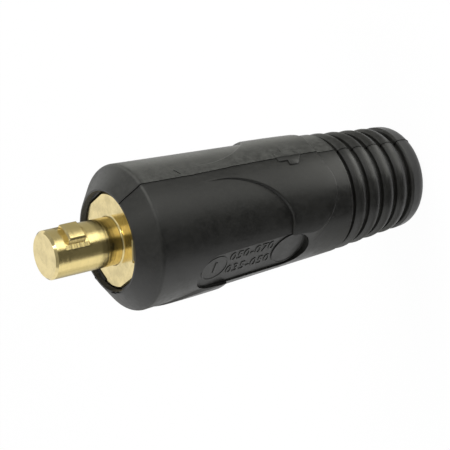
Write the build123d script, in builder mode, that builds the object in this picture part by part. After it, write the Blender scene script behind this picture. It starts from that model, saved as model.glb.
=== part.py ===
from build123d import *
from math import radians, sqrt, tan
import os

# Welding cable plug: a brass bayonet contact in a moulded rubber sleeve, for 50 to 70 mm2 cable.
# It stands on its flat tail end with the pin up. +Z is the plug's axis, z = 0 is the tail face, and +X
# runs through the parting line on the side of the rear land. The label pads face -Y and +Y.

# Pin and bayonet key
PIN_DIAMETER = 13.0
PIN_LENGTH = 19.8
PIN_TIP_CHAMFER = 0.6
PIN_ROOT_FILLET = 0.5
FACET_COUNT = 18
FACET_SETBACK = 3.2
FACET_LENGTH = 6.9
KEY_SETBACK = 4.0
KEY_LENGTH = 5.0
KEY_WIDTH = 5.9
KEY_HEIGHT = 1.7
KEY_CHAMFER = 0.4

# Collar: the round shoulder behind the pin, with two notches and two shallow flats
COLLAR_DIAMETER = 25.6
COLLAR_THICKNESS = 6.0
COLLAR_CHAMFER = 0.4
COLLAR_ACROSS_FLATS = 24.5
FLAT_ANGLE = 65.8
NOTCH_ANGLE = -60.5
NOTCH_WIDTH = 5.4
NOTCH_DEPTH = 2.1
KEYWAY_ANGLE = 180.0
KEYWAY_WIDTH = 6.2
KEYWAY_DEPTH = 1.1

# Barrel: clamps the bared cable under two set screws
BARREL_DIAMETER = 21.0
BARREL_ROOT_LENGTH = 4.5
BARREL_CHAMFER = 0.8
CABLE_BORE_DIAMETER = 14.5
CABLE_BORE_LEAD_IN = 0.8
DRILL_POINT_ANGLE = 118.0

# Set screws, M8 x 6 with a hexagon socket
SCREW_DIAMETER = 8.0
SCREW_LENGTH = 6.0
SCREW_SOCKET = 4.0
SCREW_SOCKET_DEPTH = 3.0
SCREW_POINT_CHAMFER = 0.9
SCREW_HEAD_CHAMFER = 0.4
SCREW_SINK = 0.1
SCREW_PITCH = 14.0
REAR_SCREW_SETBACK = 13.0

# Cable ferrule: rolled copper sheet, open at one seam
FERRULE_DIAMETER = 10.0
FERRULE_WALL = 0.5
FERRULE_LENGTH = 38.0
FERRULE_SEAM = 1.6
FERRULE_SETBACK = 2.0
FERRULE_END_GAP = 2.0

# Sleeve outside: nose, then a tapered body that ends at the ribbed tail
RIM_REACH = 1.2
RIM_RADIUS = 14.0
RIM_WALL = 0.5
NOSE_HEIGHT = 4.8
NOSE_RADIUS = 19.75
NOSE_FILLET = 1.6
BODY_LENGTH = 64.8
BODY_TAIL_RADIUS = 16.95
BODY_TAIL_FILLET = 0.6

# Raised lands between the grip recesses: the rear one wraps the +X side, the front one the -X side.
# Each is a cap that reaches from pad to pad and a stem that runs out along the parting line.
REAR_LAND_SETBACK = 5.3
REAR_LAND_EDGE_RISE = 0.6
REAR_LAND_RISE = 0.75
REAR_LAND_ARC = 10.0
REAR_LAND_DIP = 1.6
REAR_LAND_CAP_LENGTH = 16.8
FRONT_LAND_SETBACK = 3.6
FRONT_LAND_EDGE_RISE = 0.3
FRONT_LAND_RISE = 0.65
FRONT_LAND_ARC = 13.5
FRONT_LAND_DIP = 1.6
FRONT_LAND_CAP_LENGTH = 20.8
LAND_SIDE_INSET = 0.4
LAND_CAP_INSET = 2.1
LAND_CAP_PULL = 0.45
LAND_ARCH_LENGTH = 20.0
LAND_ARCH_PULL = 1.35
LAND_STEM_LENGTH = 10.5
LAND_STEM_WIDTH = 6.4
LAND_STEM_SINK = 0.3
LAND_EDGE_WIDTH = 16.0
LAND_FILLET = 0.5

# Label pads: flat stadium pockets on both sides, each with a round insert disc at its tail end
PAD_LENGTH = 37.4
PAD_WIDTH = 12.4
PAD_DEPTH = 1.56
PAD_SLOPE = 3.0
PAD_SETBACK = 31.1
DISC_MARGIN = 0.75
DISC_RISE = 0.2

# Ribbed tail: domed ribs with square grooves between them
RIB_COUNT = 5
RIB_PITCH = 5.45
RIB_GROOVE = 1.5
RIB_WALL = 0.85
RIB_DOME = 0.7
FIRST_RIB_RADIUS = 16.6
LAST_RIB_RADIUS = 14.85
TAIL_MARGIN = 1.4
TAIL_FILLET = 3.6
TAIL_RING_FILLET = 0.8

# Sleeve inside
SLEEVE_CLEARANCE = 0.3
CABLE_ENTRY_DIAMETER = 18.0
CABLE_ENTRY_LEAD_IN = 1.0
ENTRY_CONE_LENGTH = 9.0
BARREL_END_GAP = 2.5

# Running gap at a thread, and the gap under the ferrule
THREAD_CLEARANCE = 0.1
FERRULE_CLEARANCE = 0.1

# Heights along the axis
cable_bore_depth = FERRULE_SETBACK + FERRULE_LENGTH + FERRULE_END_GAP
barrel_length = cable_bore_depth + BARREL_ROOT_LENGTH
body_tail_z = TAIL_MARGIN + RIB_COUNT * RIB_PITCH + RIB_GROOVE / 2
nose_edge_z = body_tail_z + BODY_LENGTH
rim_z = nose_edge_z + NOSE_HEIGHT
collar_face_z = rim_z - RIM_REACH
collar_seat_z = collar_face_z - COLLAR_THICKNESS
pin_tip_z = collar_face_z + PIN_LENGTH
barrel_end_z = collar_seat_z - barrel_length
entry_cone_z = barrel_end_z - BARREL_END_GAP
pad_z = nose_edge_z - PAD_SETBACK

# Radii shared by pieces that fit each other
pin_radius = PIN_DIAMETER / 2
barrel_radius = BARREL_DIAMETER / 2
cable_bore_radius = CABLE_BORE_DIAMETER / 2
screw_radius = SCREW_DIAMETER / 2
sleeve_bore_radius = barrel_radius + SLEEVE_CLEARANCE
entry_radius = CABLE_ENTRY_DIAMETER / 2
screw_head_x = sqrt(barrel_radius**2 - screw_radius**2) - SCREW_SINK
screw_heights = {
    "set_screw_rear": barrel_end_z + REAR_SCREW_SETBACK,
    "set_screw_front": barrel_end_z + REAR_SCREW_SETBACK + SCREW_PITCH,
}

os.makedirs("parts", exist_ok=True)


def body_radius(z):
    """Radius of the sleeve's taper between the lands."""
    return BODY_TAIL_RADIUS + (NOSE_RADIUS - BODY_TAIL_RADIUS) * (z - body_tail_z) / BODY_LENGTH


def crest_radius(z):
    """Radius of the cone that the rib crests touch."""
    taper = (FIRST_RIB_RADIUS - LAST_RIB_RADIUS) / ((RIB_COUNT - 1) * RIB_PITCH)
    return LAST_RIB_RADIUS + taper * (z - RIB_PITCH / 2)


def shoulder_radius(z):
    """Radius of the square shoulders of a rib, at the foot of its dome."""
    return crest_radius(z) - RIB_DOME


def groove_radius(z):
    """Radius at the bottom of the groove between two ribs."""
    return shoulder_radius(z) - RIB_WALL


def collar_outline(gap):
    """Notched and flatted outline of the collar, grown by the gap on every side."""
    with BuildSketch() as outline:
        Circle(COLLAR_DIAMETER / 2 + gap)
        with PolarLocations(COLLAR_ACROSS_FLATS / 2 + gap, 2, start_angle=FLAT_ANGLE):
            Rectangle(COLLAR_DIAMETER, COLLAR_DIAMETER, align=(Align.MIN, Align.CENTER), mode=Mode.SUBTRACT)
        for angle, width, depth in (
            (NOTCH_ANGLE, NOTCH_WIDTH, NOTCH_DEPTH),
            (KEYWAY_ANGLE, KEYWAY_WIDTH, KEYWAY_DEPTH),
        ):
            with PolarLocations(COLLAR_DIAMETER / 2 - depth + gap, 1, start_angle=angle):
                Rectangle(
                    COLLAR_DIAMETER, width - 2 * gap, align=(Align.MIN, Align.CENTER), mode=Mode.SUBTRACT
                )
    return outline.sketch


# Contact: pin, key, collar and barrel are one turned and milled piece of brass
with BuildPart() as contact_body:
    with BuildSketch(Plane.XY.offset(collar_face_z)):
        Circle(pin_radius)
    extrude(amount=PIN_LENGTH)
    chamfer(contact_body.edges().group_by(Axis.Z)[-1], length=PIN_TIP_CHAMFER)

    with BuildSketch(Plane.XY.offset(pin_tip_z - FACET_SETBACK)):
        Circle(PIN_DIAMETER)
        RegularPolygon(pin_radius, FACET_COUNT, mode=Mode.SUBTRACT)
    extrude(amount=-FACET_LENGTH, mode=Mode.SUBTRACT)
    with BuildSketch(Plane.XY.offset(pin_tip_z - KEY_SETBACK - KEY_LENGTH)):
        Circle(pin_radius + KEY_HEIGHT)
        Rectangle(PIN_DIAMETER, KEY_WIDTH, align=(Align.MIN, Align.CENTER), mode=Mode.INTERSECT)
    extrude(amount=KEY_LENGTH)
    key_crown = contact_body.faces().filter_by(GeomType.CYLINDER).sort_by(lambda face: face.radius)[-1]
    chamfer(key_crown.edges(), length=KEY_CHAMFER)

    add(extrude(Plane.XY.offset(collar_seat_z) * collar_outline(0), amount=COLLAR_THICKNESS, mode=Mode.PRIVATE))
    seat_face, pin_face = contact_body.faces().filter_by(Plane.XY).sort_by(Axis.Z)[:2]
    chamfer(seat_face.edges() + pin_face.outer_wire().edges(), length=COLLAR_CHAMFER)
    pin_root = contact_body.edges().filter_by_position(Axis.Z, collar_face_z, collar_face_z)
    fillet(pin_root.sort_by_distance((0, 0, collar_face_z))[0], radius=PIN_ROOT_FILLET)

    with BuildSketch(Plane.XY.offset(barrel_end_z)):
        Circle(barrel_radius)
    extrude(amount=barrel_length)
    chamfer(contact_body.edges().group_by(Axis.Z)[0], length=BARREL_CHAMFER)

    drill_point_height = cable_bore_radius / tan(radians(DRILL_POINT_ANGLE / 2))
    with BuildSketch(Plane.XZ):
        with BuildLine():
            Polyline(
                (0, barrel_end_z),
                (cable_bore_radius + CABLE_BORE_LEAD_IN, barrel_end_z),
                (cable_bore_radius, barrel_end_z + CABLE_BORE_LEAD_IN),
                (cable_bore_radius, barrel_end_z + cable_bore_depth),
                (0, barrel_end_z + cable_bore_depth + drill_point_height),
                close=True,
            )
        make_face()
    revolve(axis=Axis.Z, mode=Mode.SUBTRACT)

    for height in screw_heights.values():
        with Locations(Plane(origin=(barrel_radius, 0, height), z_dir=(1, 0, 0))):
            Hole(screw_radius + THREAD_CLEARANCE, depth=barrel_radius)

contact_body.part.label = "contact_body"
export_step(contact_body.part, "parts/contact_body.step")


# Set screws: they clamp the ferrule and lie below the barrel's surface
for name, height in screw_heights.items():
    with BuildPart() as set_screw:
        with BuildSketch(Plane(origin=(screw_head_x, 0, height), x_dir=(0, 1, 0), z_dir=(-1, 0, 0))):
            Circle(screw_radius)
        extrude(amount=SCREW_LENGTH)
        chamfer(set_screw.edges().group_by(Axis.X)[0], length=SCREW_POINT_CHAMFER)
        head_face = set_screw.faces().sort_by(Axis.X)[-1]
        chamfer(head_face.edges(), length=SCREW_HEAD_CHAMFER)
        with BuildSketch(Plane(origin=(screw_head_x, 0, height), x_dir=(0, 1, 0), z_dir=(-1, 0, 0))):
            RegularPolygon(SCREW_SOCKET / 2, 6, major_radius=False)
        extrude(amount=SCREW_SOCKET_DEPTH, mode=Mode.SUBTRACT)
    set_screw.part.label = name
    export_step(set_screw.part, f"parts/{name}.step")


# Cable ferrule: it lies against the bore opposite the screws, its seam to one side
with BuildPart() as cable_ferrule:
    ferrule_x = FERRULE_DIAMETER / 2 + FERRULE_CLEARANCE - cable_bore_radius
    with BuildSketch(Plane((ferrule_x, 0, barrel_end_z + FERRULE_SETBACK))):
        Circle(FERRULE_DIAMETER / 2)
        Circle(FERRULE_DIAMETER / 2 - FERRULE_WALL, mode=Mode.SUBTRACT)
        Rectangle(FERRULE_SEAM, FERRULE_DIAMETER, align=(Align.CENTER, Align.MIN), mode=Mode.SUBTRACT)
    extrude(amount=FERRULE_LENGTH)

cable_ferrule.part.label = "cable_ferrule"
export_step(cable_ferrule.part, "parts/cable_ferrule.step")


def land(edge_z, heading, side, edge_rise, cap_rise, edge_arc, edge_dip, cap_length):
    """One raised land: heading is the way its stem runs along Z, side the way it faces along X."""
    cap_z = edge_z + heading * cap_length
    arch_z = cap_z + heading * LAND_ARCH_LENGTH
    stem_z = arch_z + heading * LAND_STEM_LENGTH
    edge_point = (body_radius(edge_z) + edge_rise, edge_z)
    cap_point = (body_radius(cap_z) + cap_rise, cap_z)
    stem_point = (body_radius(stem_z) - LAND_STEM_SINK, stem_z)
    reach = NOSE_RADIUS + BODY_TAIL_RADIUS
    side_y = body_radius(cap_z) - LAND_SIDE_INSET
    side_z = edge_z + heading * edge_arc
    pocket_z = (side_z + cap_z) / 2
    root_radius = sleeve_bore_radius

    with BuildPart() as raised:
        with BuildSketch(Plane.XZ):
            with BuildLine():
                ThreePointArc(edge_point, cap_point, stem_point)
                Polyline(stem_point, (root_radius, stem_z), (root_radius, edge_z), edge_point)
            make_face()
        revolve(axis=Axis.Z)
        with BuildSketch(Plane.YZ):
            with BuildLine():
                Spline(
                    [(0, edge_z + heading * edge_dip), (LAND_EDGE_WIDTH / 2, edge_z), (side_y, side_z)],
                    tangents=[(1, 0), (0, heading)],
                )
                Polyline(
                    (side_y, side_z),
                    (side_y, pocket_z),
                    (reach, pocket_z),
                    (reach, cap_z),
                    (side_y - LAND_CAP_INSET, cap_z),
                )
                Spline(
                    [(side_y - LAND_CAP_INSET, cap_z), (LAND_STEM_WIDTH / 2, arch_z)],
                    tangents=[(-1, 0), (0, heading)],
                    tangent_scalars=[LAND_CAP_PULL, LAND_ARCH_PULL],
                )
                Polyline((LAND_STEM_WIDTH / 2, arch_z), (LAND_STEM_WIDTH / 2, stem_z), (0, stem_z))
                mirror(about=Plane.YZ)
            make_face()
        extrude(amount=side * reach, mode=Mode.INTERSECT)
        crown = raised.faces().sort_by(lambda face: side * face.center().X)[-1]
        fillet(crown.edges(), radius=LAND_FILLET)
    return raised.part


# Sleeve: one moulding, from the ribbed tail to the nose rim
with BuildPart() as sleeve:
    with BuildSketch(Plane.XZ) as section:
        with BuildLine():
            tail_groove_z = TAIL_MARGIN + RIB_PITCH
            Polyline(
                (0, 0),
                (crest_radius(0), 0),
                (crest_radius(tail_groove_z), tail_groove_z - RIB_GROOVE / 2),
                (groove_radius(tail_groove_z), tail_groove_z - RIB_GROOVE / 2),
                (groove_radius(tail_groove_z), tail_groove_z + RIB_GROOVE / 2),
            )
            for rib in range(1, RIB_COUNT):
                groove_z = TAIL_MARGIN + rib * RIB_PITCH
                foot_z = groove_z + RIB_GROOVE / 2
                next_groove_z = groove_z + RIB_PITCH
                head_z = next_groove_z - RIB_GROOVE / 2
                middle_z = (foot_z + head_z) / 2
                Line((groove_radius(groove_z), foot_z), (shoulder_radius(foot_z), foot_z))
                ThreePointArc(
                    (shoulder_radius(foot_z), foot_z),
                    (crest_radius(middle_z), middle_z),
                    (shoulder_radius(head_z), head_z),
                )
                Polyline(
                    (shoulder_radius(head_z), head_z),
                    (groove_radius(next_groove_z), head_z),
                    (groove_radius(next_groove_z), head_z + RIB_GROOVE),
                )
            Polyline(
                (groove_radius(next_groove_z), body_tail_z),
                (BODY_TAIL_RADIUS, body_tail_z),
                (NOSE_RADIUS, nose_edge_z),
            )
            Polyline(
                (NOSE_RADIUS, nose_edge_z),
                (RIM_RADIUS, rim_z),
                (0, rim_z),
                (0, 0),
            )
        make_face()
        rounded_corners = (
            ((crest_radius(0), 0), TAIL_FILLET),
            ((crest_radius(tail_groove_z), tail_groove_z - RIB_GROOVE / 2), TAIL_RING_FILLET),
            ((BODY_TAIL_RADIUS, body_tail_z), BODY_TAIL_FILLET),
            ((NOSE_RADIUS, nose_edge_z), NOSE_FILLET),
        )
        for corner, radius in rounded_corners:
            fillet(section.vertices().sort_by_distance(corner)[0], radius)
    revolve(axis=Axis.Z)

    add(
        land(
            edge_z=body_tail_z + REAR_LAND_SETBACK,
            heading=1,
            side=1,
            edge_rise=REAR_LAND_EDGE_RISE,
            cap_rise=REAR_LAND_RISE,
            edge_arc=REAR_LAND_ARC,
            edge_dip=REAR_LAND_DIP,
            cap_length=REAR_LAND_CAP_LENGTH,
        )
    )
    add(
        land(
            edge_z=nose_edge_z - FRONT_LAND_SETBACK,
            heading=-1,
            side=-1,
            edge_rise=FRONT_LAND_EDGE_RISE,
            cap_rise=FRONT_LAND_RISE,
            edge_arc=FRONT_LAND_ARC,
            edge_dip=FRONT_LAND_DIP,
            cap_length=FRONT_LAND_CAP_LENGTH,
        )
    )

    for side in (-1, 1):
        pad_plane = Plane(
            origin=(0, side * (body_radius(pad_z) - PAD_DEPTH), pad_z),
            x_dir=(1, 0, 0),
            z_dir=(0, side, -tan(radians(PAD_SLOPE))),
        )
        with BuildSketch(pad_plane):
            SlotOverall(PAD_LENGTH, PAD_WIDTH, rotation=90)
        extrude(amount=NOSE_RADIUS, mode=Mode.SUBTRACT)
        disc_y = side * (PAD_LENGTH - PAD_WIDTH) / 2
        with BuildSketch(pad_plane):
            with Locations((0, disc_y)):
                Circle(PAD_WIDTH / 2 - DISC_MARGIN)
        extrude(amount=DISC_RISE)

    with BuildSketch(Plane.XZ):
        with BuildLine():
            Polyline(
                (0, 0),
                (entry_radius + CABLE_ENTRY_LEAD_IN, 0),
                (entry_radius, CABLE_ENTRY_LEAD_IN),
                (entry_radius, entry_cone_z - ENTRY_CONE_LENGTH),
                (sleeve_bore_radius, entry_cone_z),
                (sleeve_bore_radius, collar_seat_z),
                (0, collar_seat_z),
                close=True,
            )
        make_face()
    revolve(axis=Axis.Z, mode=Mode.SUBTRACT)
    add(
        extrude(
            Plane.XY.offset(collar_seat_z) * collar_outline(SLEEVE_CLEARANCE),
            amount=COLLAR_THICKNESS,
            mode=Mode.PRIVATE,
        ),
        mode=Mode.SUBTRACT,
    )
    with Locations((0, 0, collar_face_z)):
        Cone(
            COLLAR_DIAMETER / 2 + SLEEVE_CLEARANCE,
            RIM_RADIUS - RIM_WALL,
            RIM_REACH,
            align=(Align.CENTER, Align.CENTER, Align.MIN),
            mode=Mode.SUBTRACT,
        )

sleeve.part.label = "sleeve"
export_step(sleeve.part, "parts/sleeve.step")
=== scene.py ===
"""Finishes, moulded details and studio of a welding cable plug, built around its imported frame.

Lengths are in metres. The plug stands on its tail with its axis on Z. The bayonet key and the set screws
face +X, the parting plane is y = 0, and the label pads face -Y and +Y.
"""

import math
import random

import bmesh
import bpy
from bpy.props import FloatProperty, FloatVectorProperty, PointerProperty, StringProperty
from bpy.types import Operator, Panel, PropertyGroup
from mathutils import Euler, Matrix, Vector


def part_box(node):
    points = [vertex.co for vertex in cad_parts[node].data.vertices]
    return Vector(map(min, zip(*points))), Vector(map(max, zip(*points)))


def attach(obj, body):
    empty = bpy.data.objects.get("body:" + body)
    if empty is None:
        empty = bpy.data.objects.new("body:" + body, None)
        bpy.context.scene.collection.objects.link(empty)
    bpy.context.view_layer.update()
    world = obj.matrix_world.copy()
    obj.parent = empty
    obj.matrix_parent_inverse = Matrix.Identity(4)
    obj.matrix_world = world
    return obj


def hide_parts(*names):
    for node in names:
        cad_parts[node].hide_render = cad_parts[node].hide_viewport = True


bl_info = {
    "name": "Welding Cable Plug",
    "version": (1, 0, 0),
    "blender": (4, 5, 0),
    "location": "View3D > Sidebar > Cable Plug",
    "description": "Dresses a bayonet welding cable plug and its studio",
    "category": "Object",
}

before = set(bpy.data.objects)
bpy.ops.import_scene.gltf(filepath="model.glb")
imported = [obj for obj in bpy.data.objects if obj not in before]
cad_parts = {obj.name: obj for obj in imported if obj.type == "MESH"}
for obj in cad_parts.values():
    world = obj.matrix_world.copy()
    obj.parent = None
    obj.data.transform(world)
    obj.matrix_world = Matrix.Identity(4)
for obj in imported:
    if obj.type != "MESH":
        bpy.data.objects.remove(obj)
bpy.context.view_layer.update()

MM = 0.001
SLEEVE_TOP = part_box("sleeve")[1].z
PIN_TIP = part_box("contact_body")[1].z
WHITE = (1.0, 1.0, 1.0, 1.0)

# Cards lie and stand round the plug where its brass mirrors them. Each is a profile, bent round the axis
# from one bearing to another. A profile's points are a reach, a height and a turn in degrees against the
# bearing.
FLOOR_LIFT = 0.4 * MM
SKEWED_EDGE = ((0.158, FLOOR_LIFT, 24), (0.172, FLOOR_LIFT, 12), (0.186, FLOOR_LIFT, 0))
OUTER_FLOOR = (*SKEWED_EDGE, (0.9, FLOOR_LIFT, 0))
INNER_FLOOR = ((0.022, FLOOR_LIFT, 0), (0.156, FLOOR_LIFT, 0))
TAIL_FLOOR = ((0.022, 2 * FLOOR_LIFT, 0), (0.058, 2 * FLOOR_LIFT, 0))
WALL = (*OUTER_FLOOR, (0.9, 1.0, 0))
STRIP = ((0.55, 0.8, 0), (0.45, 0.86, 0))
CANOPY = ((0.0, 1.05, 0), (0.9, 1.02, 0))

# Name, profile, first and last bearing in degrees from +X, and tone.
CARDS = (
    ("dark_wall", WALL, -94, -27, 0.125),
    ("bright_floor", OUTER_FLOOR, -26, 6, 2.1),
    ("grey_wall", WALL, 16, 92, 0.41),
    ("pale_floor", OUTER_FLOOR, 92, 142, 0.42),
    ("dusk_floor", OUTER_FLOOR, 145, 186, 0.45),
    ("soft_floor", OUTER_FLOOR, 186, 225, 0.68),
    ("glow", STRIP, -8, 9, 12.0),
    ("dark_foot", INNER_FLOOR, -92, -27, 0.02),
    ("window_foot", INNER_FLOOR, -26, 15, 0.9),
    ("grey_foot", INNER_FLOOR, 16, 68, 0.22),
    ("pale_foot", INNER_FLOOR, 68, 96, 0.6),
    ("tail_foot", TAIL_FLOOR, 112, 262, 0.35),
    ("tail_glow", TAIL_FLOOR, -36, 18, 2.4),
    ("canopy", CANOPY, -130, 52, 0.36),
)


class SleeveSizes(PropertyGroup):
    """Colours of the rubber, and sizes of the marks that are moulded on the sleeve."""

    rubber: FloatVectorProperty(
        name="Rubber", description="Colour of the moulded rubber", subtype="COLOR", size=3,
        min=0, max=1, default=(0.0100, 0.0100, 0.0088),
    )
    # Painted light: this pale colour covers the lit +Y mould half along with its dust, and also gives the
    # nose edge its painted highlight.
    dust_and_light: FloatVectorProperty(
        name="Dust", description="Colour of the rubber where release dust lies on it", subtype="COLOR",
        size=3, min=0, max=1, default=(0.072, 0.073, 0.066),
    )
    rubber_roughness: FloatProperty(
        name="Roughness", description="Roughness of the rubber, 0 for a mirror", default=0.42, min=0,
        max=1, subtype="FACTOR",
    )
    # Painted highlight: the nose's edge is paled in a thin band at this height.
    edge_height: FloatProperty(
        name="Nose edge", description="Height of the nose's worn edge above the tail",
        default=SLEEVE_TOP - 4.75 * MM, unit="LENGTH",
    )
    line_width: FloatProperty(
        name="Parting line", description="Width of the parting line", default=0.42 * MM,
        min=0.05 * MM, unit="LENGTH",
    )
    line_sink: FloatProperty(
        name="Line sink", description="How deep the parting line's middle lies in the rubber",
        default=0.1 * MM, unit="LENGTH",
    )
    pad_height: FloatProperty(
        name="Pad height", description="Height of the label pads' middle above the tail",
        default=SLEEVE_TOP - 35.9 * MM, unit="LENGTH",
    )
    pad_depth: FloatProperty(
        name="Pad depth", description="Distance of a label pad's floor from the axis", default=16.846 * MM,
        unit="LENGTH",
    )
    pad_slope: FloatProperty(
        name="Pad slope", description="Tilt of a label pad's floor against the axis",
        default=math.radians(3.0), unit="ROTATION",
    )
    first_row: StringProperty(name="First row", description="Upper row of numbers", default="050-070")
    second_row: StringProperty(name="Second row", description="Lower row of numbers", default="035-050")
    cavity: StringProperty(name="Cavity", description="Number in the ring", default="1")
    number_height: FloatProperty(
        name="Number height", description="Height of the numbers", default=2.95 * MM, unit="LENGTH",
    )
    row_spread: FloatProperty(
        name="Row spread", description="Distance of a row from the rows' middle line, in number heights",
        default=0.82, min=0,
    )
    row_shift: FloatProperty(
        name="Row shift", description="How far the rows' middle line lies beside the pad's middle line",
        default=0.65 * MM, unit="LENGTH",
    )
    row_rise: FloatProperty(
        name="Row rise", description="How far the rows' middle lies above the pad's middle",
        default=0.7 * MM, unit="LENGTH",
    )
    mark_rise: FloatProperty(
        name="Mark rise", description="How far the numbers stand above the floor", default=0.16 * MM,
        unit="LENGTH",
    )
    cavity_rise: FloatProperty(
        name="Cavity rise", description="How far the ringed number lies above the pad's middle",
        default=12.6 * MM, unit="LENGTH",
    )
    cavity_radius: FloatProperty(
        name="Cavity ring", description="Radius of the ring round the number", default=4.1 * MM,
        unit="LENGTH",
    )
    insert_drop: FloatProperty(
        name="Insert drop", description="How far the insert disc lies below the pad's middle",
        default=12.5 * MM, unit="LENGTH",
    )
    insert_radius: FloatProperty(
        name="Insert ring", description="Radius of the rim round the insert disc", default=5.2 * MM,
        unit="LENGTH",
    )
    pointer_height: FloatProperty(
        name="Pointer height", description="Height of the raised pointer's middle above the tail",
        default=46.4 * MM, unit="LENGTH",
    )
    pointer_length: FloatProperty(
        name="Pointer length", description="Length of the raised pointer", default=8.5 * MM, unit="LENGTH",
    )
    pointer_width: FloatProperty(
        name="Pointer width", description="Width of the raised pointer", default=6.2 * MM, unit="LENGTH",
    )
    pointer_rise: FloatProperty(
        name="Pointer rise", description="How far the pointer stands out of the rubber", default=0.3 * MM,
        unit="LENGTH",
    )


class ContactSizes(PropertyGroup):
    """Colours of the metals, and sizes of the pin's land and the screws' threads."""

    brass: FloatVectorProperty(
        name="Brass", description="Colour of the turned brass", subtype="COLOR", size=3, min=0, max=1,
        default=(0.83, 0.67, 0.30),
    )
    faced_brass: FloatVectorProperty(
        name="Faced brass", description="Colour of the brass on its faced ends", subtype="COLOR", size=3,
        min=0, max=1, default=(0.77, 0.64, 0.33),
    )
    copper: FloatVectorProperty(
        name="Copper", description="Colour of the ferrule", subtype="COLOR", size=3, min=0, max=1,
        default=(0.78, 0.42, 0.27),
    )
    steel: FloatVectorProperty(
        name="Steel", description="Colour of the blackened screws", subtype="COLOR", size=3, min=0, max=1,
        default=(0.09, 0.09, 0.10),
    )
    pin_radius: FloatProperty(
        name="Pin radius", description="Radius of the turned pin", default=6.5 * MM, unit="LENGTH",
    )
    flat_setback: FloatProperty(
        name="Flats' setback", description="Distance of the flats from the pin's tip", default=3.2 * MM,
        unit="LENGTH",
    )
    flat_length: FloatProperty(
        name="Flats' length", description="Length of the flats along the pin", default=6.9 * MM,
        unit="LENGTH",
    )
    land_start: FloatProperty(
        name="Land's start", description="Bearing from the key at which the pin is round again",
        default=math.radians(38), unit="ROTATION",
    )
    thread_pitch: FloatProperty(
        name="Thread pitch", description="Pitch of the set screws' thread", default=1.25 * MM, unit="LENGTH",
    )
    thread_depth: FloatProperty(
        name="Thread depth", description="Depth of the set screws' thread", default=0.6 * MM, unit="LENGTH",
    )
    point_length: FloatProperty(
        name="Point", description="Length of the set screws' bevelled point", default=0.35 * MM,
        unit="LENGTH",
    )
    socket_width: FloatProperty(
        name="Socket", description="Width across the flats of the screws' sockets", default=4 * MM,
        unit="LENGTH",
    )
    socket_depth: FloatProperty(
        name="Socket depth", description="Depth of the screws' sockets", default=3 * MM, unit="LENGTH",
    )


class StudioSizes(PropertyGroup):
    """Camera, lamps and backdrop."""

    lens: FloatProperty(name="Lens", description="Focal length in millimetres", default=125.616, min=1)
    camera_place: FloatVectorProperty(
        name="Camera", description="Place of the camera", size=3, subtype="TRANSLATION", unit="LENGTH",
        default=(0.281737, -0.225714, 0.296701),
    )
    camera_turn: FloatVectorProperty(
        name="Camera turn", description="Turn of the camera", size=3, subtype="EULER", unit="ROTATION",
        default=(math.radians(-19.4459), math.radians(54.6863), math.radians(-61.6374)),
    )
    floor_width: FloatProperty(
        name="Floor", description="Width of the pale floor", default=4, min=1, unit="LENGTH",
    )
    key_power: FloatProperty(name="Key lamp", description="Power of the key lamp", default=5.2, unit="POWER")
    bounce_power: FloatProperty(
        name="Bounce lamp", description="Power of the bounce lamp", default=3.4, unit="POWER",
    )


class Wire:
    """A node's socket. An expression on it adds the Math nodes that work it out."""

    def __init__(self, board, socket):
        self.board = board
        self.socket = socket

    def math(self, operation, *values):
        node = self.board.node("ShaderNodeMath", {"operation": operation}, {}, "Value")
        for place, value in zip(node.socket.node.inputs, (self, *values)):
            self.board.feed(place, value)
        return node

    def __add__(self, other):
        return self.math("ADD", other)

    def __sub__(self, other):
        return self.math("SUBTRACT", other)

    def __rsub__(self, other):
        return (self * -1) + other

    def __mul__(self, other):
        return self.math("MULTIPLY", other)

    def __abs__(self):
        return self.math("ABSOLUTE")

    def root(self):
        return self.math("SQRT")

    def largest(self, other):
        return self.math("MAXIMUM", other)

    def fade(self, start, end, low=0.0, high=1.0):
        """A smooth change from low at start to high at end."""
        settings = {"interpolation_type": "SMOOTHSTEP"}
        values = {"Value": self, "From Min": start, "From Max": end, "To Min": low, "To Max": high}
        return self.board.node("ShaderNodeMapRange", settings, values, "Result")


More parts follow.
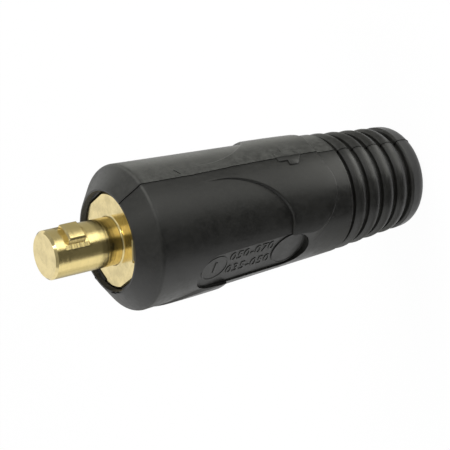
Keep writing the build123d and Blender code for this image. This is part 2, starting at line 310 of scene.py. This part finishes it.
class Board:
    """The node tree of a material or world."""

    def __init__(self, owner):
        owner.use_nodes = True
        self.tree = owner.node_tree
        self.tree.nodes.clear()

    def feed(self, place, value):
        """Gives a socket a value or a wire."""
        if isinstance(value, Wire):
            self.tree.links.new(value.socket, place)
        else:
            place.default_value = value

    def node(self, kind, settings, values, output):
        """Adds a node and returns one of its outputs."""
        made = self.tree.nodes.new(kind)
        for name, value in settings.items():
            setattr(made, name, value)
        for name, value in values.items():
            self.feed(made.inputs[name], value)
        return Wire(self, made.outputs[output])

    def place(self):
        """The object's own coordinates."""
        return self.node("ShaderNodeTexCoord", {}, {}, "Object")

    def split(self, vector):
        """X, Y and Z of a vector."""
        parts = self.node("ShaderNodeSeparateXYZ", {}, {"Vector": vector}, "X").socket.node
        return [Wire(self, parts.outputs[name]) for name in "XYZ"]

    def facing(self):
        """How far the surface faces the pin's tip: 1 on the faced ends, 0 on the turned sides."""
        return self.split(self.node("ShaderNodeTexCoord", {}, {}, "Normal"))[2]

    def seen(self):
        """1 for rays from the camera, also by way of a mirror or glass, and 0 for the rest."""
        path = self.node("ShaderNodeLightPath", {}, {}, "Is Camera Ray").socket.node
        seen = Wire(self, path.outputs["Is Camera Ray"])
        seen = seen.largest(Wire(self, path.outputs["Is Glossy Ray"]))
        return seen.largest(Wire(self, path.outputs["Is Transmission Ray"]))

    def noise(self, vector, size, detail=3.0, roughness=0.5):
        """Even noise whose grains are about size metres."""
        values = {"Vector": vector, "Scale": 1 / size, "Detail": detail, "Roughness": roughness}
        return self.node("ShaderNodeTexNoise", {}, values, "Fac")

    def rings(self, distance, size, detail=2.0):
        """Noise that changes along one distance only, as marks of a lathe do."""
        values = {"W": distance, "Scale": 1 / size, "Detail": detail}
        return self.node("ShaderNodeTexNoise", {"noise_dimensions": "1D"}, values, "Fac")

    def mix(self, share, first, second):
        """A colour between two colours.

        A Mix node's sockets for colours have the same names as its others, so they go by their numbers.
        """
        made = self.tree.nodes.new("ShaderNodeMix")
        made.data_type = "RGBA"
        for number, value in ((0, share), (6, first), (7, second)):
            self.feed(made.inputs[number], value)
        return Wire(self, made.outputs[2])

    def bump(self, height):
        """A normal that stands out by height metres."""
        values = {"Height": height, "Strength": 1.0, "Distance": 1.0}
        return self.node("ShaderNodeBump", {}, values, "Normal")

    def principled(self, **values):
        """Ends a material's tree. Values go by the sockets' names, in small letters with underscores."""
        named = {}
        for name, value in values.items():
            named[name.replace("_", " ").title().replace("Ior", "IOR")] = value
        self.output(self.node("ShaderNodeBsdfPrincipled", {}, named, "BSDF"))

    def output(self, shader, kind="ShaderNodeOutputMaterial"):
        made = self.tree.nodes.new(kind)
        self.feed(made.inputs["Surface"], shader)


def new_material(name):
    """A material and the board of its nodes."""
    material = bpy.data.materials.new(name)
    return material, Board(material)


def shade(colour, factor=1.0):
    """A colour made lighter or darker, with its alpha."""
    return (*(min(1.0, part * factor) for part in colour), 1.0)


def moulded_rubber(name, sizes):
    """Satin black rubber with fine grain and flow marks, and a pale mottled cover on one mould half that is
    partly release dust and partly painted light, with a painted highlight on the nose's edge and painted
    shade at the foot of the parting line.
    """
    material, board = new_material(name)
    colour = sizes.rubber
    vector = board.place()
    x, y, z = board.split(vector)
    grain = board.noise(vector, 0.35 * MM, 4.0, 0.6)
    flow = board.noise(vector, 9 * MM, 3.0, 0.55)
    mottle = board.noise(vector, 2.6 * MM, 3.0, 0.6)
    fleck = board.noise(vector, 0.95 * MM, 3.0, 0.6)
    speck = board.noise(vector, 0.9 * MM, 2.0, 0.4).fade(0.66, 0.74)
    tone = board.mix(flow.fade(0.3, 0.7), shade(colour, 0.8), shade(colour, 1.2))
    tone = board.mix(mottle.fade(0.35, 0.75) * 0.3, tone, shade(colour, 1.7))
    tone = board.mix(fleck.fade(0.4, 0.7) * 0.4, tone, shade(colour, 2.0))
    tone = board.mix(speck * 0.3, tone, shade(colour, 2.6))
    height = grain * 0.012 * MM + flow * 0.03 * MM + mottle * 0.016 * MM + fleck * 0.008 * MM

    # Painted light and dust: the +Y mould half, which the key lamp falls on, is paled with a mottled cover,
    # partly release dust and partly painted light on the lit side. It runs from the parting line on the +X
    # side round to the pad, and from the ribs up to the nose's edge, and is heavier further up from the
    # line.
    half = y.fade(0.02 * MM, 0.14 * MM) * y.fade(13 * MM, 16.5 * MM, 1.0, 0.0)
    half = half * x.fade(-7 * MM, 1 * MM)
    half = half * z.fade(25 * MM, 33 * MM) * z.fade(92 * MM, 95 * MM, 1.0, 0.3)
    cover = mottle.fade(0.2, 0.8, 0.02, 0.22) + fleck.fade(0.3, 0.7, 0.1, 0.34)
    cover = cover + grain.fade(0.3, 0.7, -0.03, 0.12) + y.fade(5 * MM, 10 * MM) * 0.45
    tone = board.mix(half * cover, tone, shade(sizes.dust_and_light))

    # The nose's edge gets a pale painted highlight, and the half without the pale cover is darker at the
    # foot of the parting line.
    # Painted highlight: a thin pale band along the nose's edge, away from the +Y half.
    highlit = abs(z - sizes.edge_height).fade(0.05 * MM, 0.45 * MM, 1.0, 0.0) * y.fade(-17 * MM, -4 * MM)
    tone = board.mix(highlit * (1 - half) * (fleck * 0.6 + 0.25), tone, shade(sizes.dust_and_light, 0.85))
    # Painted shade: the rubber is darkened in the crease right beside the parting line.
    foot = abs(y).fade(0.1 * MM, 0.9 * MM, 1.0, 0.0)
    tone = board.mix(foot * (1 - half) * 0.7, tone, shade(colour, 0.4))

    roughness = sizes.rubber_roughness
    gloss = flow.fade(0.25, 0.75, roughness - 0.04, roughness + 0.04) + speck * 0.12 + half * 0.05
    gloss = gloss + mottle.fade(0.25, 0.75, -0.04, 0.04) + fleck.fade(0.3, 0.7, -0.04, 0.04)
    board.principled(base_color=tone, roughness=gloss, normal=board.bump(height))
    return material


def shaded_flash_rubber(name, colour):
    """Dull black rubber of the flash, painted much darker than the sleeve as painted shade of the parting
    line's groove, with random grain.
    """
    material, board = new_material(name)
    grain = board.noise(board.place(), 0.3 * MM, 3.0, 0.6)
    tone = board.mix(grain.fade(0.35, 0.7), shade(colour, 0.15), shade(colour, 0.5))
    board.principled(
        base_color=tone, roughness=grain.fade(0.3, 0.7, 0.7, 0.9), specular_ior_level=0.12,
        normal=board.bump(grain * 0.02 * MM),
    )
    return material


def turned_brass(name, sizes):
    """Bright brass with the rings that a lathe leaves, paler on the faced ends, and with painted shade on
    the flats beside the key.
    """
    material, board = new_material(name)
    colour = sizes.brass
    vector = board.place()
    x, y, z = board.split(vector)
    along = (x * x + y * y).root() + z
    rings = board.rings(along, 0.11 * MM, 3.0)
    bands = board.rings(along, 0.9 * MM, 1.0)
    haze = board.noise(vector, 3.2 * MM, 3.0, 0.6)
    tarnish = board.noise(vector, 4.5 * MM, 3.0, 0.65)
    facing = board.facing()
    tone = board.mix(haze.fade(0.35, 0.7), shade(colour, 0.97), shade(colour, 1.05))
    faces = sizes.faced_brass
    faced = board.mix(tarnish.fade(0.35, 0.75), shade(faces, 1.06), shade(faces, 0.78))
    tone = board.mix(abs(facing).fade(0.55, 0.75), tone, faced)
    tone = board.mix(bands.fade(0.55, 0.8) * 0.25, tone, shade(colour, 0.82))

    # The cutter that formed the key left marks on the flats close beside it, which the bump raises; their
    # colour is darkened as painted shade in the corner at the key's foot.
    low, high = flat_heights(sizes)
    blend = 0.1 * MM
    beside = abs(y).fade(2.9 * MM, 3.0 * MM) * abs(y).fade(4.1 * MM, 4.3 * MM, 1.0, 0.0)
    beside = beside * x.fade(1 * MM, 2 * MM)
    beside = beside * z.fade(low - blend, low + blend) * z.fade(high - blend, high + blend, 1.0, 0.0)
    marks = board.rings(z, 0.5 * MM, 2.0)
    tone = board.mix(beside * marks.fade(0.35, 0.65, 0.75, 0.35), tone, shade(colour, 0.22))

    turned = 1 - abs(facing).fade(0.9, 0.98) * 0.75
    height = turned * rings * 0.016 * MM + bands * 0.004 * MM + beside * marks * 0.03 * MM
    gloss = haze.fade(0.3, 0.75, 0.11, 0.17) + rings.fade(0.5, 0.9) * 0.05 + beside * 0.12
    board.principled(base_color=tone, metallic=1.0, roughness=gloss, normal=board.bump(height))
    return material


def rolled_copper(name, colour):
    """Rolled copper sheet, lightly tarnished, with marks along the rolling direction."""
    material, board = new_material(name)
    vector = board.place()
    stretch = {"Vector": vector, "Scale": (1.0, 1.0, 0.06)}
    streaks = board.node("ShaderNodeMapping", {}, stretch, "Vector")
    marks = board.noise(streaks, 0.25 * MM, 3.0, 0.6)
    tarnish = board.noise(vector, 5 * MM, 4.0, 0.6)
    tone = board.mix(tarnish.fade(0.4, 0.75) * 0.6, shade(colour), shade(colour, 0.55))
    gloss = tarnish.fade(0.3, 0.8, 0.24, 0.42) + marks.fade(0.4, 0.8) * 0.06
    normal = board.bump(marks * 0.006 * MM)
    board.principled(base_color=tone, metallic=1.0, roughness=gloss, normal=normal)
    return material


def blackened_steel(name, colour):
    """Black oxide on steel, worn a little brighter in spots."""
    material, board = new_material(name)
    vector = board.place()
    grain = board.noise(vector, 0.12 * MM, 3.0, 0.6)
    wear = board.noise(vector, 1.4 * MM, 3.0, 0.5)
    tone = board.mix(wear.fade(0.5, 0.75) * 0.5, shade(colour), shade(colour, 3.2))
    gloss = wear.fade(0.3, 0.7, 0.42, 0.3) + grain * 0.08
    normal = board.bump(grain * 0.008 * MM)
    board.principled(base_color=tone, metallic=1.0, roughness=gloss, normal=normal)
    return material


def backdrop_paper(name):
    """White paper that the camera sees as white, with a faint shadow left on it."""
    material, board = new_material(name)
    fibre = board.noise(board.place(), 0.02, 2.0)
    tone = board.mix(fibre, shade((0.84, 0.84, 0.84)), shade((0.87, 0.87, 0.87)))
    paper = board.node("ShaderNodeBsdfDiffuse", {}, {"Color": tone}, "BSDF")
    glow = board.node("ShaderNodeEmission", {}, {"Color": WHITE, "Strength": 1.0}, "Emission")
    mixed = board.tree.nodes.new("ShaderNodeMixShader")
    for number, value in enumerate((board.seen() * 0.965, paper, glow)):
        board.feed(mixed.inputs[number], value)
    board.output(Wire(board, mixed.outputs["Shader"]))
    return material


def card_paper(name, tone):
    """Plain card that shows one slightly warm tone in reflections, whatever light falls on it."""
    material, board = new_material(name)
    warm = (tone, tone, tone * 0.94, 1.0)
    board.output(board.node("ShaderNodeEmission", {}, {"Color": warm, "Strength": 1.0}, "Emission"))
    return material


def polar(reach, turn, height):
    """The point at a distance from the axis, a bearing from +X and a height."""
    return Vector((reach * math.cos(turn), reach * math.sin(turn), height))


def finish_piece(name, mesh, material, body):
    """Links a mesh as a piece that rides on a body."""
    mesh.materials.clear()
    mesh.materials.append(material)
    piece = bpy.data.objects.new(name, mesh)
    bpy.context.scene.collection.objects.link(piece)
    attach(piece, body)
    return piece


def mesh_of(bm, name, smooth_angle=math.radians(35)):
    """Turns a bmesh into a mesh with outward faces, smooth except across sharp edges."""
    bmesh.ops.remove_doubles(bm, verts=bm.verts, dist=1e-7)
    bmesh.ops.recalc_face_normals(bm, faces=bm.faces)
    for edge in bm.edges:
        edge.smooth = edge.calc_face_angle(0) < smooth_angle
    for face in bm.faces:
        face.smooth = True
    mesh = bpy.data.meshes.new(name)
    bm.to_mesh(mesh)
    bm.free()
    return mesh


def mesh_from_curve(name, curve, place=Matrix.Identity(4)):
    """Turns a curve or a text into a mesh, laid out by the place matrix."""
    holder = bpy.data.objects.new(name, curve)
    mesh = bpy.data.meshes.new_from_object(holder)
    bpy.data.objects.remove(holder)
    mesh.transform(place)
    bm = bmesh.new()
    bm.from_mesh(mesh)
    return mesh_of(bm, name)


def sleeve_profile(side):
    """Points down the sleeve's outside in the parting plane, on its +X (1) or -X (-1) side.

    The plane cuts the sleeve's inside too, so points closer to the axis than all of the outside are left
    out.
    """
    bm = bmesh.new()
    bm.from_mesh(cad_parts["sleeve"].data)
    bmesh.ops.remove_doubles(bm, verts=bm.verts, dist=1e-6)
    bmesh.ops.bisect_plane(
        bm, geom=bm.verts[:] + bm.edges[:] + bm.faces[:], plane_co=(0, 0, 0), plane_no=(0, 1, 0),
        clear_inner=True, clear_outer=True,
    )
    bmesh.ops.remove_doubles(bm, verts=bm.verts, dist=1e-6)
    least_at_ribs = 12.0 * MM
    least_at_nose = 13.65 * MM
    middle = SLEEVE_TOP / 2
    hidden = [v for v in bm.verts if v.co.x * side < (least_at_ribs if v.co.z < middle else least_at_nose)]
    bmesh.ops.delete(bm, geom=hidden, context="VERTS")
    ends = [v for v in bm.verts if len(v.link_edges) == 1]
    vert = max(ends, key=lambda v: v.co.z)
    points = [vert.co.copy()]
    seen = {vert}
    while True:
        following = [e.other_vert(vert) for e in vert.link_edges if e.other_vert(vert) not in seen]
        if not following:
            break
        vert = following[0]
        seen.add(vert)
        points.append(vert.co.copy())
    bm.free()
    return points


def reach_at(profile, height):
    """X of the profile's point that is nearest to a height."""
    return min(profile, key=lambda point: abs(point.z - height)).x


def bead_mesh(name, points, radius):
    """A thin square bead along a run of points."""
    curve = bpy.data.curves.new(name, "CURVE")
    curve.dimensions = "3D"
    curve.bevel_depth = radius
    curve.bevel_resolution = 0
    curve.use_fill_caps = True
    spline = curve.splines.new("POLY")
    spline.points.add(len(points) - 1)
    for place, point in zip(spline.points, points):
        place.co = (*point, 1.0)
    return mesh_from_curve(name, curve)


def number_mesh(name, words, height, rise, place):
    """Raised figures, laid on a pad by the place matrix."""
    figure_share_of_size = 0.7
    curve = bpy.data.curves.new(name, "FONT")
    curve.body = words
    curve.size = height / figure_share_of_size
    curve.align_x = "CENTER"
    curve.align_y = "CENTER"
    curve.extrude = rise
    curve.bevel_depth = 0.03 * MM
    curve.resolution_u = 4
    curve.space_character = 1.08
    return mesh_from_curve(name, curve, place)


def ring_mesh(name, radius, width, rise, place):
    """A raised ring with sloped walls, laid on a pad by the place matrix."""
    bm = bmesh.new()
    foot = width / 2
    crown = foot * 0.6
    low = [(radius - foot, -rise), (radius + foot, -rise)]
    high = [(radius + crown, rise), (radius - crown, rise)]
    verts = [bm.verts.new((across, 0, up)) for across, up in low + high]
    edges = [bm.edges.new(pair) for pair in zip(verts, (*verts[1:], verts[0]))]
    bmesh.ops.spin(
        bm, geom=verts + edges, cent=(0, 0, 0), axis=(0, 0, 1), angle=math.tau, steps=72, use_merge=True,
    )
    bm.transform(place)
    return mesh_of(bm, name)


def pad_place(sizes, side):
    """Matrix of the floor of the near (-1) or far (1) pad. X runs along the rows, Y up across them."""
    along = Vector((0, 0, -1))
    up = Vector((-side, 0, 0))
    lean = Matrix.Rotation(-side * sizes.pad_slope, 4, "X")
    turn = Matrix((along, up, along.cross(up))).transposed().to_4x4()
    middle = Matrix.Translation(Vector((0, side * sizes.pad_depth, sizes.pad_height)))
    return middle @ lean @ turn


def flat_heights(sizes):
    """Lower and upper end of the pin's flats."""
    high = PIN_TIP - sizes.flat_setback
    return high - sizes.flat_length, high


class DressFrame(Operator):
    """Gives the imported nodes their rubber, brass and copper"""

    bl_idname = "object.plug_dress_frame"
    bl_label = "Dress Frame"

    def execute(self, context):
        sleeve = context.scene.plug_sleeve
        contact = context.scene.plug_contact
        finishes = {
            "sleeve": moulded_rubber("moulded_rubber", sleeve),
            "contact_body": turned_brass("turned_brass", contact),
            "cable_ferrule": rolled_copper("rolled_copper", contact.copper),
        }
        for node, material in finishes.items():
            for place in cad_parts[node].material_slots:
                place.material = material
        return {"FINISHED"}


class PartingLines(Operator):
    """Adds the thin flash that the mould leaves along both sides of the sleeve"""

    bl_idname = "object.plug_parting_lines"
    bl_label = "Parting Lines"

    def execute(self, context):
        sizes = context.scene.plug_sleeve
        # Painted shade: the flash's rubber is far darker than the sleeve's, standing for the shade in the
        # parting line's groove.
        flash = shaded_flash_rubber("shaded_flash_rubber", sizes.rubber)
        for name, side in (("parting_line_rear", 1), ("parting_line_front", -1)):
            points = self.uneven(sleeve_profile(side), side, sizes.line_sink)
            mesh = bead_mesh(name, points, sizes.line_width / 2)
            finish_piece(name, mesh, flash, "sleeve")
        for name, radius, points in (self.rim_scrap(), self.stem_scrap()):
            finish_piece(name, bead_mesh(name, points, radius), flash, "sleeve")
        return {"FINISHED"}

    def uneven(self, points, side, sink):
        """The line with the slight waver that the mould's edge leaves, ended just above the tail."""
        draw = random.Random(11 + side)
        step = 1.2 * MM
        waver = 0.07
        tail_gap = 0.3 * MM
        wavering = []
        drift = 0.0
        for start, end in zip(points, points[1:]):
            parts = max(1, round((end - start).length / step))
            for part in range(parts):
                drift = drift * 0.7 + draw.uniform(-waver, waver) * MM
                wavering.append(start.lerp(end, part / parts) + Vector((-side * sink, drift, 0)))
        return [point for point in wavering if point.z > tail_gap]

    def rim_scrap(self):
        """Name, radius and points of a scrap of flash in the opening's rim."""
        draw = random.Random(5)
        first_bearing = -144
        rim_radius = 13.75
        points = []
        for step in range(13):
            turn = math.radians(first_bearing + step * 1.6)
            reach = (rim_radius + draw.uniform(-0.25, 0.2)) * MM
            height = SLEEVE_TOP + draw.uniform(-0.12, 0.12) * MM
            points.append(polar(reach, turn, height))
        return "rim_flash", 0.17 * MM, points

    def stem_scrap(self):
        """Name, radius and points of a scrap of flash beside the parting line, on the rear land."""
        profile = sleeve_profile(1)
        first_bearing = 3.2
        first_height = 81.2
        points = []
        for step in range(6):
            turn = math.radians(first_bearing + step * 1.2)
            height = (first_height + step * 0.2) * MM
            points.append(polar(reach_at(profile, height), turn, height))
        return "stem_tick", 0.13 * MM, points


class PadNumbers(Operator):
    """Adds two rows of plain numbers, a ringed figure and the insert's rim to both label pads"""

    bl_idname = "object.plug_pad_numbers"
    bl_label = "Pad Numbers"

    def execute(self, context):
        sizes = context.scene.plug_sleeve
        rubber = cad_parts["sleeve"].material_slots[0].material
        rise = sizes.mark_rise
        cavity_height = sizes.number_height * 1.3
        rows = (("first_row", sizes.first_row, 1), ("second_row", sizes.second_row, -1))
        for label, side in (("near", -1), ("far", 1)):
            floor = pad_place(sizes, side)
            for row, words, rank in rows:
                across = sizes.row_shift + rank * sizes.number_height * sizes.row_spread
                place = floor @ Matrix.Translation((-sizes.row_rise, across, 0))
                mesh = number_mesh(row, words, sizes.number_height, rise, place)
                finish_piece(f"{row}_{label}", mesh, rubber, "sleeve")
            cavity = floor @ Matrix.Translation((-sizes.cavity_rise, sizes.row_shift, 0))
            mesh = ring_mesh("ring", sizes.cavity_radius, width=0.55 * MM, rise=rise, place=cavity)
            finish_piece(f"cavity_ring_{label}", mesh, rubber, "sleeve")
            insert = floor @ Matrix.Translation((sizes.insert_drop, 0, 0))
            mesh = ring_mesh("insert_ring", sizes.insert_radius, width=0.4 * MM, rise=2 * rise, place=insert)
            finish_piece(f"insert_ring_{label}", mesh, rubber, "sleeve")
            mesh = number_mesh("cavity", sizes.cavity, cavity_height, rise, cavity)
            finish_piece(f"cavity_figure_{label}", mesh, rubber, "sleeve")
        return {"FINISHED"}


class IndexPointer(Operator):
    """Adds the raised pointer on the rear land, which shows where the bayonet key is"""

    bl_idname = "object.plug_index_pointer"
    bl_label = "Index Pointer"

    def execute(self, context):
        sizes = context.scene.plug_sleeve
        rise = sizes.pointer_rise
        bm = bmesh.new()
        verts = [bm.verts.new((-rise, across, up)) for across, up in self.outline(sizes)]
        face = bm.faces.new(verts)
        raised = bmesh.ops.extrude_face_region(bm, geom=[face])
        top = [item for item in raised["geom"] if isinstance(item, bmesh.types.BMVert)]
        bmesh.ops.translate(bm, verts=top, vec=(2 * rise, 0, 0))
        bmesh.ops.recalc_face_normals(bm, faces=bm.faces)
        crown = [edge for edge in bm.edges if all(vert in top for vert in edge.verts)]
        bmesh.ops.bevel(
            bm, geom=crown, offset=0.12 * MM, segments=2, profile=0.5, affect="EDGES", material=-1,
        )
        self.wrap(bm)
        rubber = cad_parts["sleeve"].material_slots[0].material
        finish_piece("index_pointer", mesh_of(bm, "index_pointer"), rubber, "sleeve")
        return {"FINISHED"}

    def outline(self, sizes):
        """Corners of the flat arrow, as the way round and the height. It points down, with a stem above."""
        tip = sizes.pointer_length / 2
        width = sizes.pointer_width / 2
        neck = width * 0.5
        corner = tip * -0.35
        shoulder = tip * 0.3
        half = ((width, corner), (width, shoulder), (neck, shoulder), (neck, tip))
        mirrored = [(-across, up) for across, up in reversed(half)]
        return [(across, sizes.pointer_height + up) for across, up in ((0, -tip), *half, *mirrored)]

    def wrap(self, bm):
        """Bends flat work round the sleeve: X is the rise, Y the way round, Z the height."""
        profile = sleeve_profile(1)
        for vert in bm.verts:
            rise, way, height = vert.co
            reach = reach_at(profile, height)
            vert.co = polar(reach + rise, way / reach, height)


class PinLand(Operator):
    """Adds the turned land that leaves flats on the pin only beside the key"""

    bl_idname = "object.plug_pin_land"
    bl_label = "Pin Land"

    def execute(self, context):
        sizes = context.scene.plug_contact
        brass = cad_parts["contact_body"].material_slots[0].material
        low, high = flat_heights(sizes)
        proud = 0.003 * MM
        buried = 0.16 * MM
        outer = sizes.pin_radius + proud
        inner = sizes.pin_radius - buried
        bm = bmesh.new()
        corners = ((inner, low), (outer, low), (outer, high), (inner, high))
        verts = [bm.verts.new((reach, 0, height)) for reach, height in corners]
        face = bm.faces.new(verts)
        bmesh.ops.rotate(bm, verts=verts, matrix=Matrix.Rotation(sizes.land_start, 3, "Z"))
        bmesh.ops.spin(
            bm, geom=[face, *face.edges, *face.verts], cent=(0, 0, 0), axis=(0, 0, 1),
            angle=math.tau - 2 * sizes.land_start, steps=96,
        )
        finish_piece("pin_land", mesh_of(bm, "pin_land"), brass, "contact")
        return {"FINISHED"}


class SetScrews(Operator):
    """Replaces the two set screws by threaded ones with hexagon sockets"""

    bl_idname = "object.plug_set_screws"
    bl_label = "Set Screws"

    def execute(self, context):
        sizes = context.scene.plug_contact
        steel = blackened_steel("blackened_steel", sizes.steel)
        for name, body in (("set_screw_front", "front_screw"), ("set_screw_rear", "rear_screw")):
            low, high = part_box(name)
            mesh = self.screw_mesh(name, sizes, low, high)
            piece = finish_piece(f"{name}_threaded", mesh, steel, body)
            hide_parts(name)
        return {"FINISHED"}

    def outline(self, sizes, radius, length):
        """Half section of the screw from its point to its head, as points along and across it."""
        root = radius - sizes.thread_depth
        pitch = sizes.thread_pitch
        point = sizes.point_length
        head_bevel = 0.1 * MM
        head_length = 0.2 * MM
        points = [(0.0, 0.0), (0.0, root - point), (point, root)]
        for turn in range(int((length - point - head_length) / pitch)):
            start = point + turn * pitch
            points += [
                (start + pitch * 0.4, radius),
                (start + pitch * 0.55, radius),
                (start + pitch * 0.95, root),
            ]
        return points + [(length - head_length, root), (length, root - head_bevel)]

    def screw_mesh(self, name, sizes, low, high):
        """A stud with a blunt thread, a bevelled point and a hexagon socket, which faces +X."""
        length = high.x - low.x
        bm = bmesh.new()
        points = self.outline(sizes, (high.z - low.z) / 2, length)
        verts = [bm.verts.new((along, across, 0)) for along, across in points]
        edges = [bm.edges.new(pair) for pair in zip(verts, verts[1:])]
        bmesh.ops.spin(
            bm, geom=verts + edges, cent=(0, 0, 0), axis=(1, 0, 0), angle=math.tau, steps=48, use_merge=True,
        )
        bmesh.ops.remove_doubles(bm, verts=bm.verts, dist=1e-6)
        rim = [edge for edge in bm.edges if edge.is_boundary]
        socket = bmesh.ops.create_circle(
            bm, segments=6, radius=sizes.socket_width / math.sqrt(3),
            matrix=Matrix.Translation((length, 0, 0)) @ Matrix.Rotation(math.pi / 2, 4, "Y"),
        )["verts"]
        ring = [edge for edge in bm.edges if all(vert in socket for vert in edge.verts)]
        bmesh.ops.bridge_loops(bm, edges=rim + ring)
        deep = bmesh.ops.extrude_edge_only(bm, edges=ring)
        floor = [item for item in deep["geom"] if isinstance(item, bmesh.types.BMVert)]
        bmesh.ops.translate(bm, verts=floor, vec=(-sizes.socket_depth, 0, 0))
        bottom = [edge for edge in bm.edges if all(vert in floor for vert in edge.verts)]
        bmesh.ops.holes_fill(bm, edges=bottom, sides=6)
        middle = (low + high) / 2
        bm.transform(Matrix.Translation((low.x, middle.y, middle.z)))
        return mesh_of(bm, name, math.radians(25))


class Studio(Operator):
    """Sets the pale floor, the cards, the lamps, the white surroundings and the camera"""

    bl_idname = "object.plug_studio"
    bl_label = "Studio"

    def execute(self, context):
        scene = context.scene
        sizes = scene.plug_studio
        self.floor(scene, sizes.floor_width)
        for card in CARDS:
            self.card(scene, *card)
        self.camera(scene, sizes)
        self.lamp(scene, "key_lamp", direction=(0.66, 0.68, 0.32), size=0.5, power=sizes.key_power)
        self.lamp(scene, "bounce_lamp", direction=(-0.72, -0.62, 0.32), size=0.6, power=sizes.bounce_power)
        self.surroundings(scene)
        scene.view_settings.view_transform = "Standard"
        return {"FINISHED"}

    def floor(self, scene, width):
        """Square sheet of paper that the plug stands on."""
        bm = bmesh.new()
        bmesh.ops.create_grid(bm, x_segments=8, y_segments=8, size=width / 2)
        mesh = bpy.data.meshes.new("floor")
        bm.to_mesh(mesh)
        bm.free()
        mesh.materials.append(backdrop_paper("backdrop_paper"))
        floor = bpy.data.objects.new("floor", mesh)
        scene.collection.objects.link(floor)

    def card(self, scene, name, profile, start, end, tone):
        """Card bent round the plug from one bearing to another, which only reflections show."""
        bm = bmesh.new()
        verts = [bm.verts.new(polar(reach, math.radians(skew), height)) for reach, height, skew in profile]
        edges = [bm.edges.new(pair) for pair in zip(verts, verts[1:])]
        bmesh.ops.rotate(bm, verts=verts, matrix=Matrix.Rotation(math.radians(start), 3, "Z"))
        bmesh.ops.spin(
            bm, geom=verts + edges, cent=(0, 0, 0), axis=(0, 0, 1), angle=math.radians(end - start),
            steps=24,
        )
        mesh = bpy.data.meshes.new(name)
        bm.to_mesh(mesh)
        bm.free()
        mesh.materials.append(card_paper(name, tone))
        card = bpy.data.objects.new(name, mesh)
        card.visible_camera = False
        card.visible_diffuse = False
        card.visible_shadow = False
        scene.collection.objects.link(card)

    def camera(self, scene, sizes):
        """Camera that takes the photograph's view."""
        camera = bpy.data.objects.new("camera", bpy.data.cameras.new("camera"))
        camera.data.lens = sizes.lens
        camera.data.sensor_width = 36
        camera.data.clip_start = 0.01
        turn = Euler(sizes.camera_turn).to_matrix().to_4x4()
        camera.matrix_world = Matrix.Translation(sizes.camera_place) @ turn
        scene.collection.objects.link(camera)
        scene.camera = camera

    def lamp(self, scene, name, direction, size, power):
        """A square soft box that faces the plug's middle. Reflections don't show it."""
        distance = 0.55
        centre = Vector((0, 0, PIN_TIP / 2))
        lamp = bpy.data.lights.new(name, "AREA")
        lamp.size = size
        lamp.energy = power
        holder = bpy.data.objects.new(name, lamp)
        direction = Vector(direction).normalized()
        turn = direction.to_track_quat("Z", "Y").to_matrix().to_4x4()
        holder.matrix_world = Matrix.Translation(centre + direction * distance) @ turn
        holder.visible_camera = False
        holder.visible_glossy = False
        scene.collection.objects.link(holder)

    def surroundings(self, scene):
        """White to the camera and in reflections, and a soft even light for the rest."""
        world = bpy.data.worlds.new("surroundings")
        scene.world = world
        board = Board(world)
        values = {"Color": WHITE, "Strength": board.seen().fade(0.0, 1.0, 0.45, 1.0)}
        glow = board.node("ShaderNodeBackground", {}, values, "Background")
        board.output(glow, "ShaderNodeOutputWorld")


class PlugPanel(Panel):
    """Lists the plug's sizes and the steps that build it"""

    bl_idname = "VIEW3D_PT_cable_plug"
    bl_label = "Welding Cable Plug"
    bl_space_type = "VIEW_3D"
    bl_region_type = "UI"
    bl_category = "Cable Plug"

    def draw(self, context):
        for group in (context.scene.plug_sleeve, context.scene.plug_contact, context.scene.plug_studio):
            box = self.layout.box()
            for name in group.__annotations__:
                box.prop(group, name)
        for step in STEPS:
            self.layout.operator(step.bl_idname)


STEPS = (DressFrame, PartingLines, PadNumbers, IndexPointer, PinLand, SetScrews, Studio)
GROUPS = {"plug_sleeve": SleeveSizes, "plug_contact": ContactSizes, "plug_studio": StudioSizes}


def register():
    for kind in (*GROUPS.values(), *STEPS, PlugPanel):
        bpy.utils.register_class(kind)
    for name, kind in GROUPS.items():
        setattr(bpy.types.Scene, name, PointerProperty(type=kind))


def unregister():
    for name in GROUPS:
        delattr(bpy.types.Scene, name)
    for kind in (PlugPanel, *reversed(STEPS), *GROUPS.values()):
        bpy.utils.unregister_class(kind)


def main():
    register()
    bpy.ops.object.plug_dress_frame()
    bpy.ops.object.plug_parting_lines()
    bpy.ops.object.plug_pad_numbers()
    bpy.ops.object.plug_index_pointer()
    bpy.ops.object.plug_pin_land()
    bpy.ops.object.plug_set_screws()
    bpy.ops.object.plug_studio()


if __name__ == "__main__":
    main()
